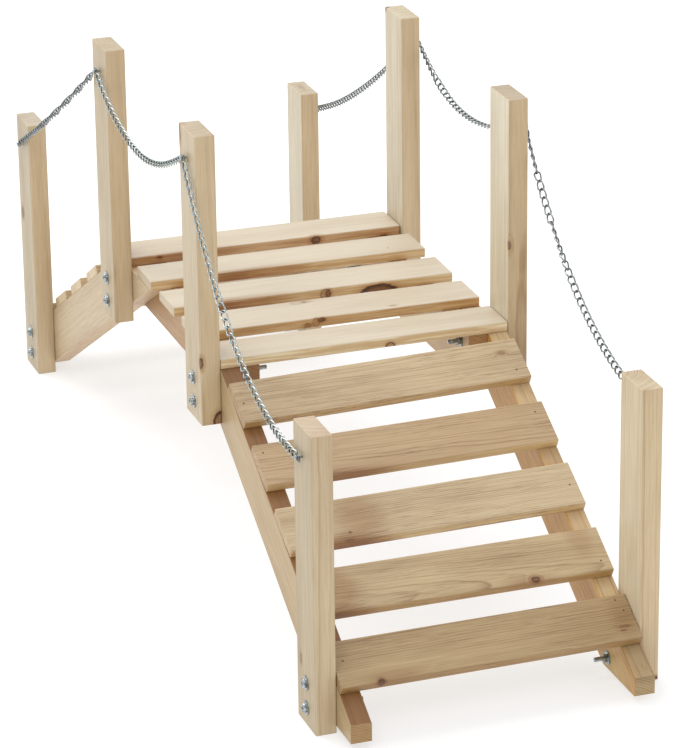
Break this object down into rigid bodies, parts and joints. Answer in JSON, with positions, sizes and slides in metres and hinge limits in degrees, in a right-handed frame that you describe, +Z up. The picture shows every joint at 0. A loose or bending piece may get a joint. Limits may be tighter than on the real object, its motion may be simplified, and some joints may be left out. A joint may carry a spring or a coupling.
{
  "type": "garden footbridge",
  "caption": "Small timber garden footbridge with a flat slatted deck, a slatted ramp at each end, upright posts bolted to the stringers and hanging chains as handrails.",
  "frame": {"origin": "on the ground at the middle of the bridge, below the centre of the deck", "axes": "+Z up, +Y along the bridge towards its far end, +X across it towards its right side"},
  "size_m": [0.628, 1.946, 0.836],
  "materials": {
    "posts": "matte",
    "stringers": "matte",
    "boards": "matte",
    "fastenings": "satin",
    "chain": "satin"
  },
  "bodies": {
    "root": {"bolts_left": "fastenings", "bolts_right": "fastenings", "chain_held_links_left": "chain", "chain_held_links_right": "chain", "chain_left_far": "chain", "chain_left_middle": "chain", "chain_left_near": "chain", "chain_right_far": "chain", "chain_right_middle": "chain", "chain_right_near": "chain", "chain_screws_left": "fastenings", "chain_screws_right": "fastenings", "deck_board_1": "boards", "deck_board_2": "boards", "deck_board_3": "boards", "deck_board_4": "boards", "deck_board_5": "boards", "deck_stringer_left": "stringers", "deck_stringer_right": "stringers", "end_post_far_left": "posts", "end_post_far_right": "posts", "end_post_near_left": "posts", "end_post_near_right": "posts", "far_ramp_board_1": "boards", "far_ramp_board_2": "boards", "far_ramp_board_3": "boards", "far_ramp_board_4": "boards", "far_ramp_board_5": "boards", "mid_post_far_left": "posts", "mid_post_far_right": "posts", "mid_post_near_left": "posts", "mid_post_near_right": "posts", "near_ramp_board_1": "boards", "near_ramp_board_2": "boards", "near_ramp_board_3": "boards", "near_ramp_board_4": "boards", "near_ramp_board_5": "boards", "nuts_left": "fastenings", "nuts_right": "fastenings", "ramp_stringer_far_left": "stringers", "ramp_stringer_far_right": "stringers", "ramp_stringer_near_left": "stringers", "ramp_stringer_near_right": "stringers", "washers_left": "fastenings", "washers_right": "fastenings"}
  },
  "joints": []
}
